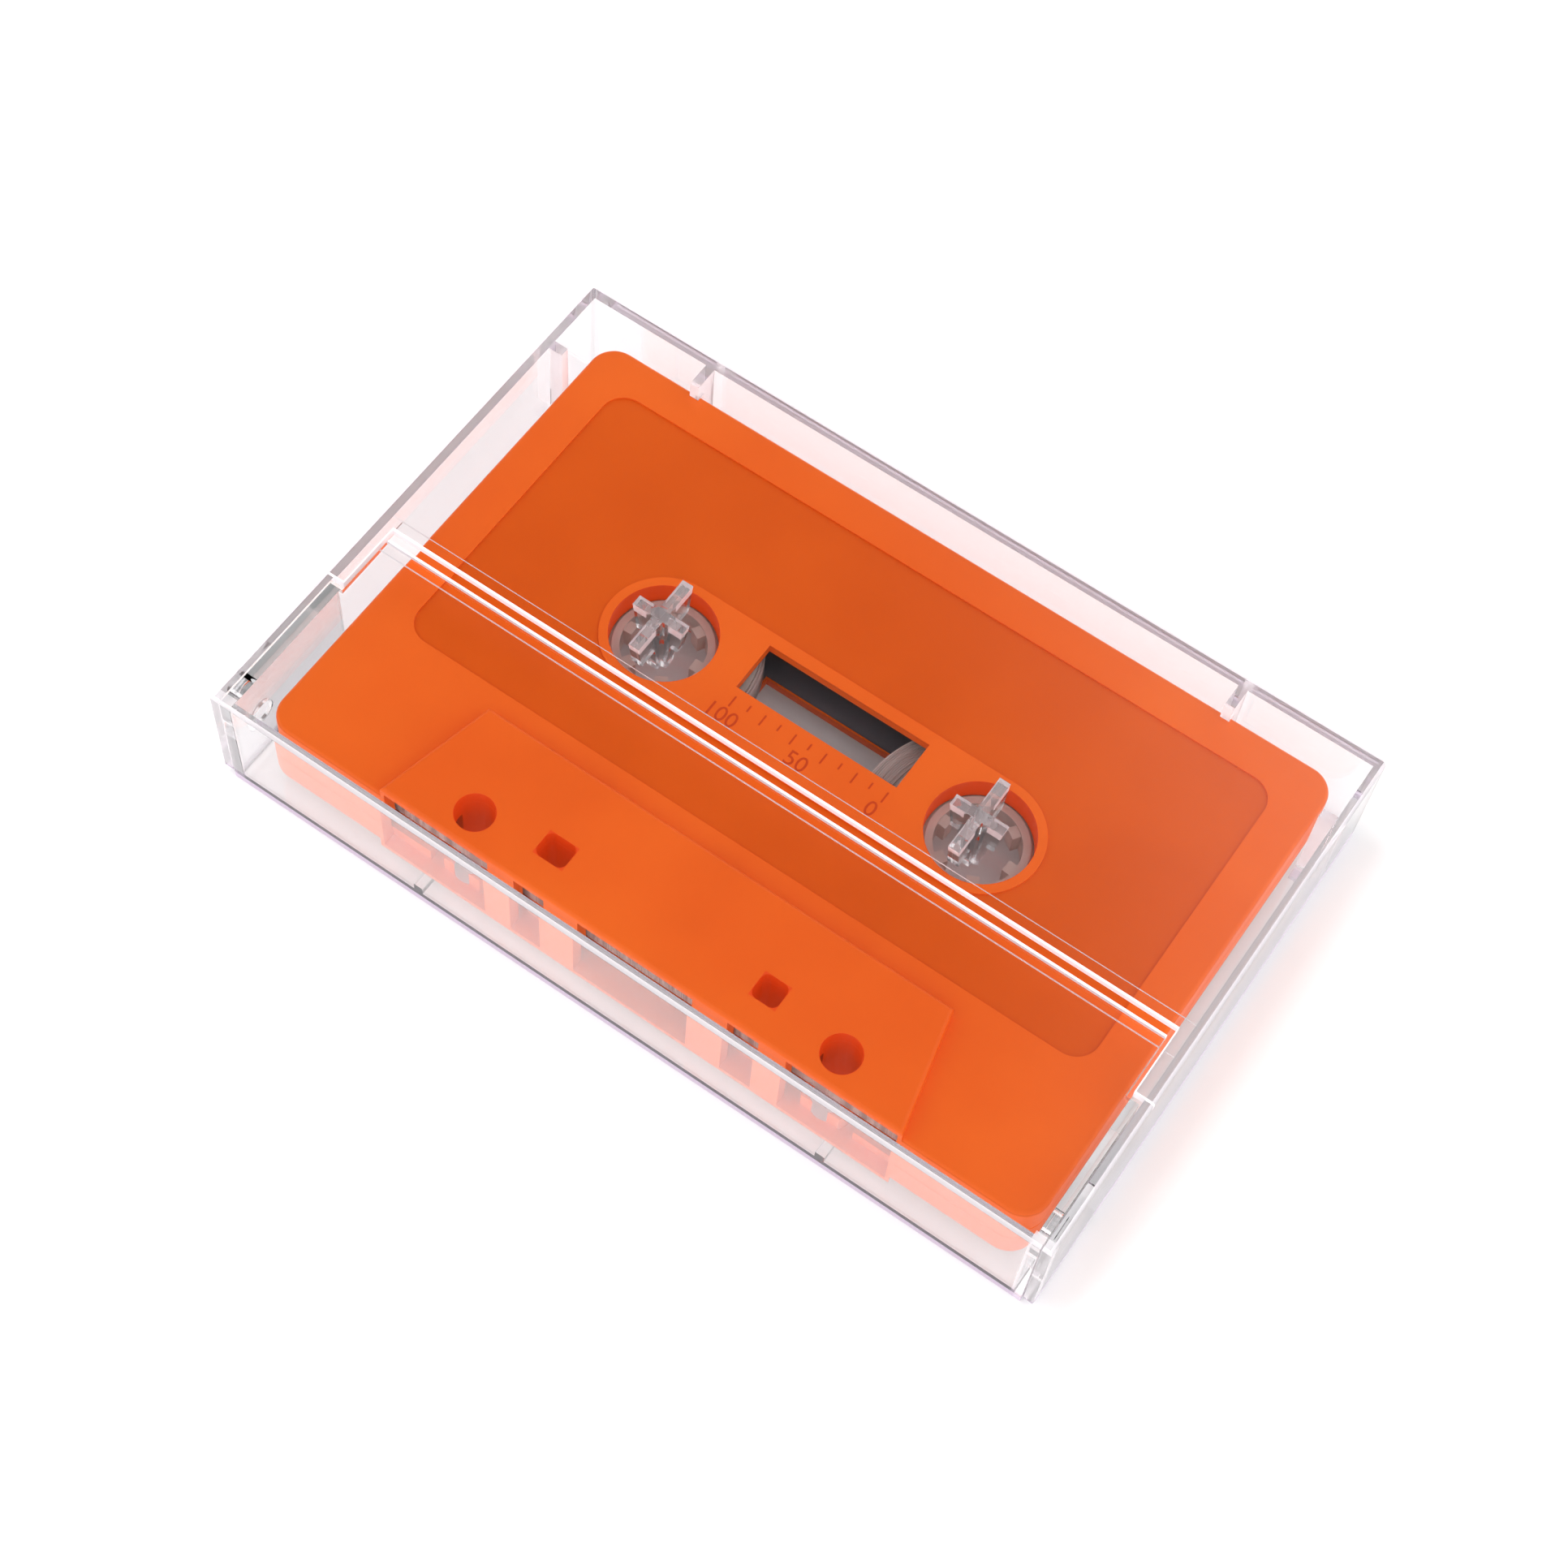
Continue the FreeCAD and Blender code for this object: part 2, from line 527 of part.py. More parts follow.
def head_holes(grow, z0, z1):
    """The two capstan holes and the two peg holes, or the tubes round them when grown."""
    holes = [upright(CAPSTAN_HOLE_RADIUS + grow, side * CAPSTAN_HOLE_SPACING / 2, CAPSTAN_HOLE_FROM_FRONT, z0, z1)
             for side in (-1, 1)]
    holes.append(peg_hole(PEG_HOLE_LEFT_CENTRE, PEG_HOLE_LEFT_WIDTH, grow, z0, z1))
    holes.append(peg_hole(PEG_HOLE_RIGHT_CENTRE, PEG_HOLE_RIGHT_WIDTH, grow, z0, z1))
    return holes


def mouths():
    """The openings in the tape edge for the heads and the pinch rollers."""
    def mouth(centre, width):
        return block(centre - width / 2, centre + width / 2, -MARGIN, FRONT_WALL + MARGIN / 10,
                     -MARGIN, MOUTH_HEIGHT / 2)

    cuts = [mouth(0, CENTRE_MOUTH_WIDTH)]
    for side in (-1, 1):
        cuts.append(mouth(side * SMALL_MOUTH_CENTRE, SMALL_MOUTH_WIDTH))
        cuts.append(mouth(side * OUTER_MOUTH_CENTRE, OUTER_MOUTH_WIDTH))
    return cuts


def tab_slits():
    """Each write-protect tab is left joined along one end only."""
    y0, y1 = CASSETTE_DEPTH - SHELL_WALL - MARGIN, CASSETTE_DEPTH + MARGIN
    cuts = []
    for side in (-1, 1):
        x0 = side * (CASSETTE_LENGTH / 2 - TAB_FROM_SIDE) - TAB_WIDTH / 2
        cuts.append(block(x0 - TAB_SLIT, x0, y0, y1, -MARGIN, TAB_HEIGHT + TAB_SLIT))
        cuts.append(block(x0 - TAB_SLIT, x0 + TAB_WIDTH, y0, y1, TAB_HEIGHT, TAB_HEIGHT + TAB_SLIT))
    return cuts


def spring_post(side):
    """Carries one foot of the pad spring on its front and one end of the shield plate in its slot."""
    x = sorted((side * SPRING_FOOT_START, side * SPRING_FOOT_END))
    post = block(x[0], x[1], SPRING_POST_Y, SHIELD_SLOT_END + SHIELD_STOP_DEPTH, 0, INNER_HEAD_HALF + MARGIN / 10)
    slot = block(x[0] - MARGIN, x[1] + MARGIN, SHIELD_Y - SHIELD_GAP, SHIELD_SLOT_END,
                 -MARGIN, SHIELD_HEIGHT / 2 + SHIELD_GAP)
    return post.cut(slot)


def inner_details():
    """Collars, tubes, posts and rests that stand on the inside of one shell half."""
    tube_end = TAPE_WIDTH / 2 + TUBE_CLEAR_OF_TAPE
    half = HEAD_BACK_WIDTH / 2
    behind_tape = block(-half, half, TUBE_BACK_FROM_FRONT, HEAD_DEPTH, 0, tube_end + MARGIN)
    parts = head_holes(TUBE_WALL, tube_end, INNER_HEAD_HALF + MARGIN / 10)
    parts += [tube.common(behind_tape) for tube in head_holes(TUBE_WALL, 0, tube_end + MARGIN)]
    post_x = CASSETTE_LENGTH / 2 - POST_INSET
    boss_end = ROLLER_HEIGHT / 2 + ROLLER_BOSS_GAP
    for side in (-1, 1):
        parts.append(upright(COLLAR_RADIUS, side * HUB_SPACING / 2, HUB_FROM_FRONT, COLLAR_REACH, BODY_HALF - MARGIN))
        parts.append(upright(POST_RADIUS, side * post_x, CASSETTE_DEPTH - POST_INSET, 0, BODY_HALF - MARGIN))
        parts.append(upright(ROLLER_BOSS_RADIUS, side * ROLLER_X, ROLLER_Y, boss_end, BODY_HALF - MARGIN))
        parts.append(spring_post(side))
    return parts


def shell_half():
    shell = shell_outside().cut(shell_cavity())
    shell = fuse_all([shell] + inner_details())
    depth = HEAD_HALF + MARGIN
    cuts = [upright(HUB_HOLE_RADIUS, side * HUB_SPACING / 2, HUB_FROM_FRONT, -MARGIN, depth) for side in (-1, 1)]
    cuts += [upright(PIN_RADIUS + PIN_SOCKET_GAP, side * ROLLER_X, ROLLER_Y, -MARGIN,
                     INNER_HALF + PIN_SOCKET_DEPTH) for side in (-1, 1)]
    cuts.append(block(-WINDOW_LENGTH / 2, WINDOW_LENGTH / 2, WINDOW_FROM_FRONT,
                      WINDOW_FROM_FRONT + WINDOW_WIDTH, -MARGIN, depth))
    cuts += head_holes(0, -MARGIN, depth)
    cuts += mouths()
    cuts += tab_slits()
    cuts.append(label_recess())
    return cut_all(shell, cuts)


# Cassette insides


def slip_sheet():
    half = CASSETTE_LENGTH / 2 - SHEET_FROM_SIDE
    z1 = INNER_HALF
    z0 = z1 - SHEET_THICKNESS
    sheet = rounded_plate(-half, half, SHEET_FROM_FRONT, CASSETTE_DEPTH - SHEET_FROM_FAR,
                          z0, z1, SHEET_CORNER_RADIUS)
    hole = COLLAR_RADIUS + SHEET_COLLAR_GAP
    cuts = [upright(hole, side * HUB_SPACING / 2, HUB_FROM_FRONT, z0 - MARGIN, z1 + MARGIN) for side in (-1, 1)]
    grow = SHEET_WINDOW_GAP
    cuts.append(block(-WINDOW_LENGTH / 2 - grow, WINDOW_LENGTH / 2 + grow, WINDOW_FROM_FRONT - grow,
                      WINDOW_FROM_FRONT + WINDOW_WIDTH + grow, z0 - MARGIN, z1 + MARGIN))
    return cut_all(sheet, cuts)


def clamp_wedge(x, at, gap):
    """The sector of the rim that the clamp fills, narrowed by the gap on its two sides and its root."""
    half_angle = math.radians(CLAMP_ANGLE / 2)
    reach = HUB_RIM_RADIUS * 2
    apex = gap / math.sin(half_angle)
    points = [(apex, 0), (apex + reach * math.cos(half_angle), -reach * math.sin(half_angle)),
              (apex + reach * math.cos(half_angle), reach * math.sin(half_angle))]
    half_height = HUB_RIM_HEIGHT / 2
    wedge = prism(points, -half_height, half_height)
    sector = wedge.common(ring(HUB_RIM_RADIUS, CLAMP_ROOT_RADIUS + gap, 0, 0, -half_height, half_height))
    sector.rotate(V(0, 0, 0), UP, at)
    sector.translate(V(x, HUB_FROM_FRONT, 0))
    return sector


def hub(x, tooth_angle, clamp_at):
    def band(outer, inner, height):
        return ring(outer, inner, x, HUB_FROM_FRONT, -height / 2, height / 2)

    parts = [band(HUB_RING_RADIUS, HUB_BORE_RADIUS, HUB_RING_HEIGHT),
             band(HUB_RIM_INNER_RADIUS, HUB_RING_RADIUS, HUB_WEB_HEIGHT),
             band(HUB_RIM_RADIUS, HUB_RIM_INNER_RADIUS, HUB_RIM_HEIGHT)]
    root = (HUB_BORE_RADIUS + HUB_RING_RADIUS) / 2
    for i in range(TOOTH_COUNT):
        tooth = block(TOOTH_TIP_RADIUS, root, -TOOTH_WIDTH / 2, TOOTH_WIDTH / 2, -TOOTH_HEIGHT / 2, TOOTH_HEIGHT / 2)
        tooth.rotate(V(0, 0, 0), UP, tooth_angle + i * 360.0 / TOOTH_COUNT)
        tooth.translate(V(x, HUB_FROM_FRONT, 0))
        parts.append(tooth)
    return fuse_all(parts).cut(clamp_wedge(x, clamp_at, 0))


def tape_pack(x, radius):
    return ring(radius, HUB_RIM_RADIUS + PACK_SEAT, x, HUB_FROM_FRONT, -TAPE_WIDTH / 2, TAPE_WIDTH / 2)


def outer_tangent(pack_x, pack_radius, roller_x, roller_radius):
    """Unit normal from both centres to the line that touches pack and roller on their outer side."""
    dx, dy = roller_x - pack_x, ROLLER_Y - HUB_FROM_FRONT
    distance = math.hypot(dx, dy)
    along = math.atan2(dy, dx)
    turn = math.acos((pack_radius - roller_radius) / distance)
    angle = along - turn if roller_x < 0 else along + turn
    return math.cos(angle), math.sin(angle)


def tape_run():
    """One width of tape from pack to pack round both guide rollers."""
    z0 = -TAPE_WIDTH / 2
    rollers = ROLLER_X
    hubs = HUB_SPACING / 2

    def line_side(extra):
        roller_radius = ROLLER_RADIUS + TAPE_GAP + extra
        edges_points = []
        for side, pack in ((-1, LEFT_PACK_RADIUS), (1, RIGHT_PACK_RADIUS)):
            pack_radius = pack + TAPE_GAP + extra
            nx, ny = outer_tangent(side * hubs, pack_radius, side * rollers, roller_radius)
            start = V(side * hubs + nx * pack_radius, HUB_FROM_FRONT + ny * pack_radius, z0)
            touch = V(side * rollers + nx * roller_radius, ROLLER_Y + ny * roller_radius, z0)
            middle_angle = (math.atan2(ny, nx) % (2 * math.pi) + 1.5 * math.pi) / 2
            if side > 0:
                middle_angle = (math.atan2(ny, nx) - 0.5 * math.pi) / 2
            middle = V(side * rollers + math.cos(middle_angle) * roller_radius,
                       ROLLER_Y + math.sin(middle_angle) * roller_radius, z0)
            bottom = V(side * rollers, ROLLER_Y - roller_radius, z0)
            edges_points.append((start, touch, middle, bottom))
        return edges_points

    inner, outer = line_side(0), line_side(TAPE_THICKNESS)

    def path(points):
        left, right = points
        return [Part.LineSegment(left[0], left[1]).toShape(),
                Part.Arc(left[1], left[2], left[3]).toShape(),
                Part.LineSegment(left[3], right[3]).toShape(),
                Part.Arc(right[3], right[2], right[1]).toShape(),
                Part.LineSegment(right[1], right[0]).toShape()]

    ends = [Part.LineSegment(inner[i][0], outer[i][0]).toShape() for i in (0, 1)]
    outline = Part.Wire(Part.__sortEdges__(path(inner) + path(outer) + ends))
    return Part.Face(outline).extrude(V(0, 0, TAPE_WIDTH))


def guide_roller(side):
    x = side * ROLLER_X
    half = ROLLER_HEIGHT / 2
    barrel = upright(ROLLER_RADIUS, x, ROLLER_Y, -half, half)
    low = upright(ROLLER_FLANGE_RADIUS, x, ROLLER_Y, -half, -half + ROLLER_FLANGE_THICKNESS)
    high = upright(ROLLER_FLANGE_RADIUS, x, ROLLER_Y, half - ROLLER_FLANGE_THICKNESS, half)
    bore = upright(PIN_RADIUS + PIN_RUNNING_GAP, x, ROLLER_Y, -half - MARGIN, half + MARGIN)
    return fuse_all([barrel, low, high]).cut(bore)


def roller_pin(side):
    half = INNER_HALF + PIN_SOCKET_DEPTH
    return upright(PIN_RADIUS, side * ROLLER_X, ROLLER_Y, -half, half)


def pressure_pad():
    half = PAD_LENGTH / 2
    return block(-half, half, PAD_Y, PAD_Y + PAD_THICKNESS, -PAD_HEIGHT / 2, PAD_HEIGHT / 2)


def pad_spring():
    """A bowed leaf: a flat crest behind the pad, two slopes and two flat feet."""
    crest = SPRING_CREST_LENGTH / 2
    front = [(-SPRING_FOOT_END, SPRING_FOOT_Y), (-SPRING_FOOT_START, SPRING_FOOT_Y), (-crest, SPRING_CREST_Y),
             (crest, SPRING_CREST_Y), (SPRING_FOOT_START, SPRING_FOOT_Y), (SPRING_FOOT_END, SPRING_FOOT_Y)]
    back = [(x, y + SPRING_THICKNESS) for x, y in reversed(front)]
    return prism(front + back, -SPRING_HEIGHT / 2, SPRING_HEIGHT / 2)


def shield_plate():
    half = SPRING_FOOT_END - SHIELD_END_GAP
    return block(-half, half, SHIELD_Y, SHIELD_Y + SHIELD_THICKNESS, -SHIELD_HEIGHT / 2, SHIELD_HEIGHT / 2)


def build():
    upper = shell_half()
    sheet = slip_sheet()
    hubs = HUB_SPACING / 2
    nodes = {"case_front": case_front(), "case_back": case_back()}
    cassette = {
        "shell_upper": upper,
        "shell_lower": flipped(upper),
        "slip_sheet_upper": sheet,
        "slip_sheet_lower": flipped(sheet),
        "hub_left": hub(-hubs, LEFT_TOOTH_ANGLE, LEFT_CLAMP_AT),
        "hub_right": hub(hubs, RIGHT_TOOTH_ANGLE, RIGHT_CLAMP_AT),
        "hub_clamp_left": clamp_wedge(-hubs, LEFT_CLAMP_AT, CLAMP_GAP),
        "hub_clamp_right": clamp_wedge(hubs, RIGHT_CLAMP_AT, CLAMP_GAP),
        "tape_pack_left": tape_pack(-hubs, LEFT_PACK_RADIUS),
        "tape_pack_right": tape_pack(hubs, RIGHT_PACK_RADIUS),
        "tape_run": tape_run(),
        "guide_roller_left": guide_roller(-1),
        "guide_roller_right": guide_roller(1),
        "roller_pin_left": roller_pin(-1),
        "roller_pin_right": roller_pin(1),
        "pressure_pad": pressure_pad(),
        "pad_spring": pad_spring(),
        "shield_plate": shield_plate(),
    }
    for name, shape in cassette.items():
        nodes[name] = seated(shape)
    return nodes


os.makedirs("parts", exist_ok=True)
for node, solid in build().items():
    solid.exportStep(os.path.join("parts", node + ".step"))
    box = solid.BoundBox
    print(f"{node:20s} solids {len(solid.Solids)} valid {solid.isValid()} volume {solid.Volume:10.2f}"
          f" x {box.XMin:.2f}..{box.XMax:.2f} y {box.YMin:.2f}..{box.YMax:.2f} z {box.ZMin:.2f}..{box.ZMax:.2f}")
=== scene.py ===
import json
import math

import bpy
from mathutils import Matrix, Vector


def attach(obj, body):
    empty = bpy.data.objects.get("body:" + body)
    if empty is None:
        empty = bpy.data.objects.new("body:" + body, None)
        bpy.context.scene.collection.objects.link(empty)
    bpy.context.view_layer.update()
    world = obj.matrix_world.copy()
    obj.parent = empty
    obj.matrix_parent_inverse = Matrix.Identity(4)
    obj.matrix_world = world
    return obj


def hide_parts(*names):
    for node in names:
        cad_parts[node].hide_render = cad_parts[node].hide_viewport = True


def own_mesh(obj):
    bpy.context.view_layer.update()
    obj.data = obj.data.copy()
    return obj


# An orange compact cassette in its clear hinged case, on a white table.
# The CAD nodes keep their shapes and get their finishes here. The scale beside the window, its
# numerals and the turns of the tape packs are added. Sizes are in millimetres, turned to metres by MM.

MM = 0.001
CASSETTE = Vector((0.7, -32.25, 8.4))
HUB_SPACING = 42.5
HUB_FROM_FRONT = 34.9
HUB_HOLE_RADIUS = 6.3
BODY_HALF = 4.35
CASSETTE_HALF_LENGTH = 50.2
CASSETTE_HALF_DEPTH = 31.9
CAPSTAN_X = 23.9
CAPSTAN_Y = 3.7
CAPSTAN_RADIUS = 2.325
PEG_X = (-14.15, 13.8)
PEG_WIDTH = (3.85, 3.35)
PEG_Y = 5.2
PEG_DEPTH = 3.2

CAMERA_PLACE = Vector((74.79, -139.10, 297.16))
CAMERA_AZIMUTH = 28.77
CAMERA_ELEVATION = 61.71
CAMERA_ROLL = 6.66
CAMERA_ANGLE = 29.83

SCALE_COUNT = 11
SCALE_PITCH = 2.04
SCALE_LONG = 1.5
SCALE_SHORT = 0.9
SCALE_LINE = 0.22
SCALE_RELIEF = 0.04
SCALE_FROM_FRONT = 33.0
NUMERAL_SIZE = 2.0
NUMERAL_FROM_FRONT = 30.1

CASE_TOP = 16.8
PANEL_UNDER = 15.6
HALF_LENGTH = 54.3
HALF_DEPTH = 35.0
BACK_EDGE = -6.2
RETURN_EDGE = -7.45
TONGUE_SIDE = 51.8
TONGUE_END = -15.0
LANDS = (-4.45, -8.95)
STOP_X = 21.25
STOP_Y = 2.95
STOP_TIP = 6.0
STOP_SHOULDER = 11.1
FAR_FIN_X = 36.4
SIDE_FIN_Y = 25.4

PACK_INNER = 11.05
LEFT_PACK = 11.6
RIGHT_PACK = 14.4
PACK_TURN = 0.24
PACK_WIDTH = 3.76


# Node wiring


class Bench:
    """Short hand for wiring a node tree, of a material, a world or a geometry."""

    def __init__(self, tree):
        self.tree = tree

    def node(self, kind, settings=None, sockets=None):
        node = self.tree.nodes.new(kind)
        for name, value in (settings or {}).items():
            setattr(node, name, value)
        for name, value in (sockets or {}).items():
            self.feed(node.inputs[name], value)
        return node

    def feed(self, socket, value):
        if isinstance(value, Value):
            value = value.socket
        if isinstance(value, bpy.types.NodeSocket):
            self.tree.links.new(value, socket)
        else:
            socket.default_value = value

    def math(self, operation, first, second=0.0, clamped=False):
        settings = {"operation": operation, "use_clamp": clamped}
        return self.node("ShaderNodeMath", settings, {0: first, 1: second}).outputs[0]

    def eased(self, value, low, high, start=0.0, end=1.0):
        """Start below low, end above high, smooth between."""
        step = self.node("ShaderNodeMapRange", {"interpolation_type": "SMOOTHSTEP"},
                         {"Value": value, "From Min": low, "From Max": high, "To Min": start, "To Max": end})
        return step.outputs[0]


class Value:
    """A number that changes over a surface. Arithmetic on it adds Math nodes."""

    def __init__(self, finish, socket):
        self.finish = finish
        self.socket = socket

    def math(self, operation, other=0.0, swapped=False):
        first, second = (other, self) if swapped else (self, other)
        return Value(self.finish, self.finish.math(operation, first, second))

    def __add__(self, other):
        return self.math("ADD", other)

    __radd__ = __add__

    def __sub__(self, other):
        return self.math("SUBTRACT", other)

    def __rsub__(self, other):
        return self.math("SUBTRACT", other, True)

    def __mul__(self, other):
        return self.math("MULTIPLY", other)

    __rmul__ = __mul__

    def __pow__(self, other):
        return self.math("POWER", other)

    def size(self):
        return self.math("ABSOLUTE")

    def below(self, limit):
        return self.math("LESS_THAN", limit)

    def above(self, limit):
        return self.math("GREATER_THAN", limit)

    def at_least(self, other):
        return self.math("MAXIMUM", other)

    def near(self, place, reach):
        return (self - place).size().below(reach)


class Finish(Bench):
    """A node material for one of the object's plastics, metals or felts."""

    def __init__(self, name):
        self.material = bpy.data.materials.new(name)
        self.material.use_nodes = True
        super().__init__(self.material.node_tree)
        self.tree.nodes.clear()
        self.shader = self.tree.nodes.new("ShaderNodeBsdfPrincipled")
        self.output = self.tree.nodes.new("ShaderNodeOutputMaterial")
        self.tree.links.new(self.shader.outputs[0], self.output.inputs["Surface"])
        coordinates = self.tree.nodes.new("ShaderNodeTexCoord").outputs["Object"]
        self.place = self.node("ShaderNodeVectorMath", {"operation": "SCALE"},
                               {0: coordinates, "Scale": 1000.0}).outputs[0]
        self.x, self.y, self.z = self.split(self.place)

    def split(self, vector):
        parts = self.node("ShaderNodeSeparateXYZ", None, {0: vector})
        return [Value(self, output) for output in parts.outputs]

    def speckle(self, per_mm, detail=2.0, stretch=(1.0, 1.0, 1.0)):
        """Noise around 0.5, with its size given in cells per millimetre."""
        scaled = self.node("ShaderNodeVectorMath", {"operation": "MULTIPLY"}, {0: self.place, 1: stretch})
        noise = self.node("ShaderNodeTexNoise", None,
                          {"Vector": scaled.outputs[0], "Scale": per_mm, "Detail": detail})
        return Value(self, noise.outputs[0])

    def ease(self, value, low, high, start=0.0):
        return Value(self, self.eased(value, low, high, start))

    def blend(self, amount, first, second):
        mix = self.node("ShaderNodeMix", {"data_type": "RGBA"}, {0: amount, 6: first, 7: second})
        return mix.outputs[2]

    def relief(self, height, depth, strength=1.0):
        """Bump from a 0 to 1 height, depth in millimetres."""
        bump = self.node("ShaderNodeBump", None,
                         {"Height": height, "Distance": depth * MM, "Strength": strength})
        self.feed(self.shader.inputs["Normal"], bump.outputs[0])

    def set(self, **values):
        for name, value in values.items():
            self.feed(self.shader.inputs[name.replace("_", " ").title().replace("Ior", "IOR")], value)
        return self


def colour(red, green, blue):
    """A colour as a painter would read it off a screen, 0 to 255, made linear."""
    def linear(level):
        level /= 255.0
        return level / 12.92 if level <= 0.04045 else ((level + 0.055) / 1.055) ** 2.4

    return (linear(red), linear(green), linear(blue), 1.0)


# Finishes


def clear_polystyrene():
    """Clear and glossy, with painted highlights: edges, the tongue, lands, hub stops, fins, corners, walls and rims
    mixed towards a pale self-lit shader.
    """
    finish = Finish("clear_polystyrene")
    smear = finish.ease(finish.speckle(0.09, 3.0), 0.52, 0.75)
    hairline = finish.ease(finish.speckle(1.4, 1.0, (1.0, 0.06, 1.0)), 0.70, 0.74)
    flow = finish.speckle(0.12, 1.0, (0.4, 1.0, 1.0))
    finish.set(base_color=finish.blend(smear, (0.985, 0.978, 0.985, 1.0), (0.97, 0.965, 0.972, 1.0)),
               roughness=0.012 + 0.03 * smear + 0.05 * hairline,
               transmission_weight=1.0, ior=1.57)
    finish.relief(flow, 0.02, 0.15)

    x, y, z = finish.x, finish.y, finish.z
    # Painted highlight: these masks pick cut edges, the tongue, lands, hub stop bars, fins, corners, walls and rims,
    # where the case is mixed towards a pale self-lit shader standing for light caught and reflected inside the plastic.
    wide, high = x.size(), z.above(PANEL_UNDER - 0.05)
    cuts = (y.near(BACK_EDGE, 0.2).at_least(y.near(RETURN_EDGE - 0.1, 0.28))) * wide.below(TONGUE_SIDE + 0.1) * high
    tongue = wide.near(TONGUE_SIDE, 0.12) * y.near((BACK_EDGE + TONGUE_END) / 2, (BACK_EDGE - TONGUE_END) / 2) * high
    tongue_end = y.near(TONGUE_END, 0.15) * wide.above(TONGUE_SIDE - 0.1) * high
    lands = y.near(LANDS[0], 0.06).at_least(y.near(LANDS[1], 0.06)) * z.near(PANEL_UNDER + 0.12, 0.16)
    across, along = (wide - STOP_X).size(), (y - STOP_Y).size()
    bars = across.above(1.5).at_least(along.above(1.9)) * z.near(PANEL_UNDER - 0.65, 0.6)
    stops = bars.at_least(z.near(STOP_TIP + 0.2, 0.35) * 0.4).at_least(z.near(STOP_SHOULDER, 0.06) * 0.3)
    stops = stops * across.below(5.6) * along.below(5.6)
    fins = (wide.near(FAR_FIN_X, 0.75) * y.near(HALF_DEPTH - 3.0, 1.8)).at_least(
        y.near(SIDE_FIN_Y, 0.75) * wide.near(HALF_LENGTH - 2.2, 1.0)) * z.below(PANEL_UNDER - 0.02)
    corners = wide.above(HALF_LENGTH - 2.7) * y.below(1.4 - HALF_DEPTH)
    rim = wide.above(HALF_LENGTH - 0.4).at_least(y.size().above(HALF_DEPTH - 0.4))
    edge_glow_mask = cuts.at_least(tongue).at_least(tongue_end) * 0.8
    edge_glow_mask = edge_glow_mask.at_least(lands * 0.55).at_least(stops * 0.6).at_least(corners * 0.32)
    walls = x.below(0.03 - HALF_LENGTH).at_least(y.above(HALF_DEPTH - 0.03))
    front = y.below(0.03 - HALF_DEPTH)
    edge_glow_mask = edge_glow_mask.at_least(fins * 0.35).at_least(walls * 0.2).at_least(front * 0.06)
    edge_glow_mask = edge_glow_mask.at_least(rim * z.above(CASE_TOP - 0.4) * 0.5).at_least(rim * z.below(1.22) * 0.65)
    # The painted highlight shader: pale, painted lilac below z 2, and glowing with its own emission.
    edge_glow_shader = finish.node("ShaderNodeBsdfPrincipled", None,
                        {"Base Color": finish.blend(z.below(2.0), colour(240, 234, 238), colour(206, 182, 210)),
                         "Roughness": 0.5, "Emission Color": colour(240, 234, 238), "Emission Strength": 0.32})
    mix = finish.node("ShaderNodeMixShader", None, {0: edge_glow_mask, 1: finish.shader.outputs[0], 2: edge_glow_shader.outputs[0]})
    finish.tree.links.new(mix.outputs[0], finish.output.inputs["Surface"])
    return finish.material


def orange_shell():
    """Orange plastic, smoother in the label recess; its holes get a painted red glow, deep colour and emission standing
    for light bounced inside them.
    """
    finish = Finish("orange_shell")
    grain = finish.speckle(4.0, 3.0)
    cloud = finish.ease(finish.speckle(0.05, 2.0), 0.3, 0.7)
    recess = 1.0 - finish.ease(((finish.z - CASSETTE.z).size() - (BODY_HALF - 0.25)).size(), 0.05, 0.09)
    x, y = finish.x - CASSETTE.x, finish.y - CASSETTE.y
    # Painted light: the capstan, peg and hub holes get a deep red colour and a red emission, standing for light bounced
    # many times inside them.
    round_holes = (((x.size() - CAPSTAN_X) ** 2.0 + (y - CAPSTAN_Y) ** 2.0) ** 0.5).below(CAPSTAN_RADIUS + 0.04)
    square_holes = y.near(PEG_Y, PEG_DEPTH / 2 + 0.04)
    square_holes = square_holes * x.near(PEG_X[0], PEG_WIDTH[0] / 2 + 0.04).at_least(
        x.near(PEG_X[1], PEG_WIDTH[1] / 2 + 0.04))
    across = (x.size() - HUB_SPACING / 2) ** 2.0 + (y - HUB_FROM_FRONT) ** 2.0
    hole_glow = round_holes.at_least(square_holes).at_least((across ** 0.5).below(HUB_HOLE_RADIUS + 0.03))
    moulded = finish.blend(cloud, colour(246, 108, 22), colour(240, 100, 16))
    smooth = finish.blend(cloud, colour(228, 95, 14), colour(221, 89, 10))
    body = finish.blend(recess, moulded, smooth)
    finish.set(base_color=finish.blend(hole_glow, body, colour(212, 64, 10)),
               roughness=0.42 + 0.10 * grain - 0.16 * recess, ior=1.5, specular_ior_level=0.25,
               emission_color=finish.blend(hole_glow, (0.0, 0.0, 0.0, 1.0), (0.20, 0.020, 0.0, 1.0)),
               emission_strength=1.0)
    finish.relief(grain * (1.0 - 0.7 * recess), 0.012, 0.5)
    return finish.material


def shaded_orange_mark():
    """The same orange painted a shade darker: painted shade for the low raised scale and its numerals."""
    finish = Finish("shaded_orange_mark")
    grain = finish.speckle(4.0, 3.0)
    finish.set(base_color=finish.blend(grain, colour(212, 72, 10), colour(203, 66, 7)),
               roughness=0.45 + 0.1 * grain, ior=1.5, specular_ior_level=0.25)
    finish.relief(grain, 0.012, 0.5)
    return finish.material


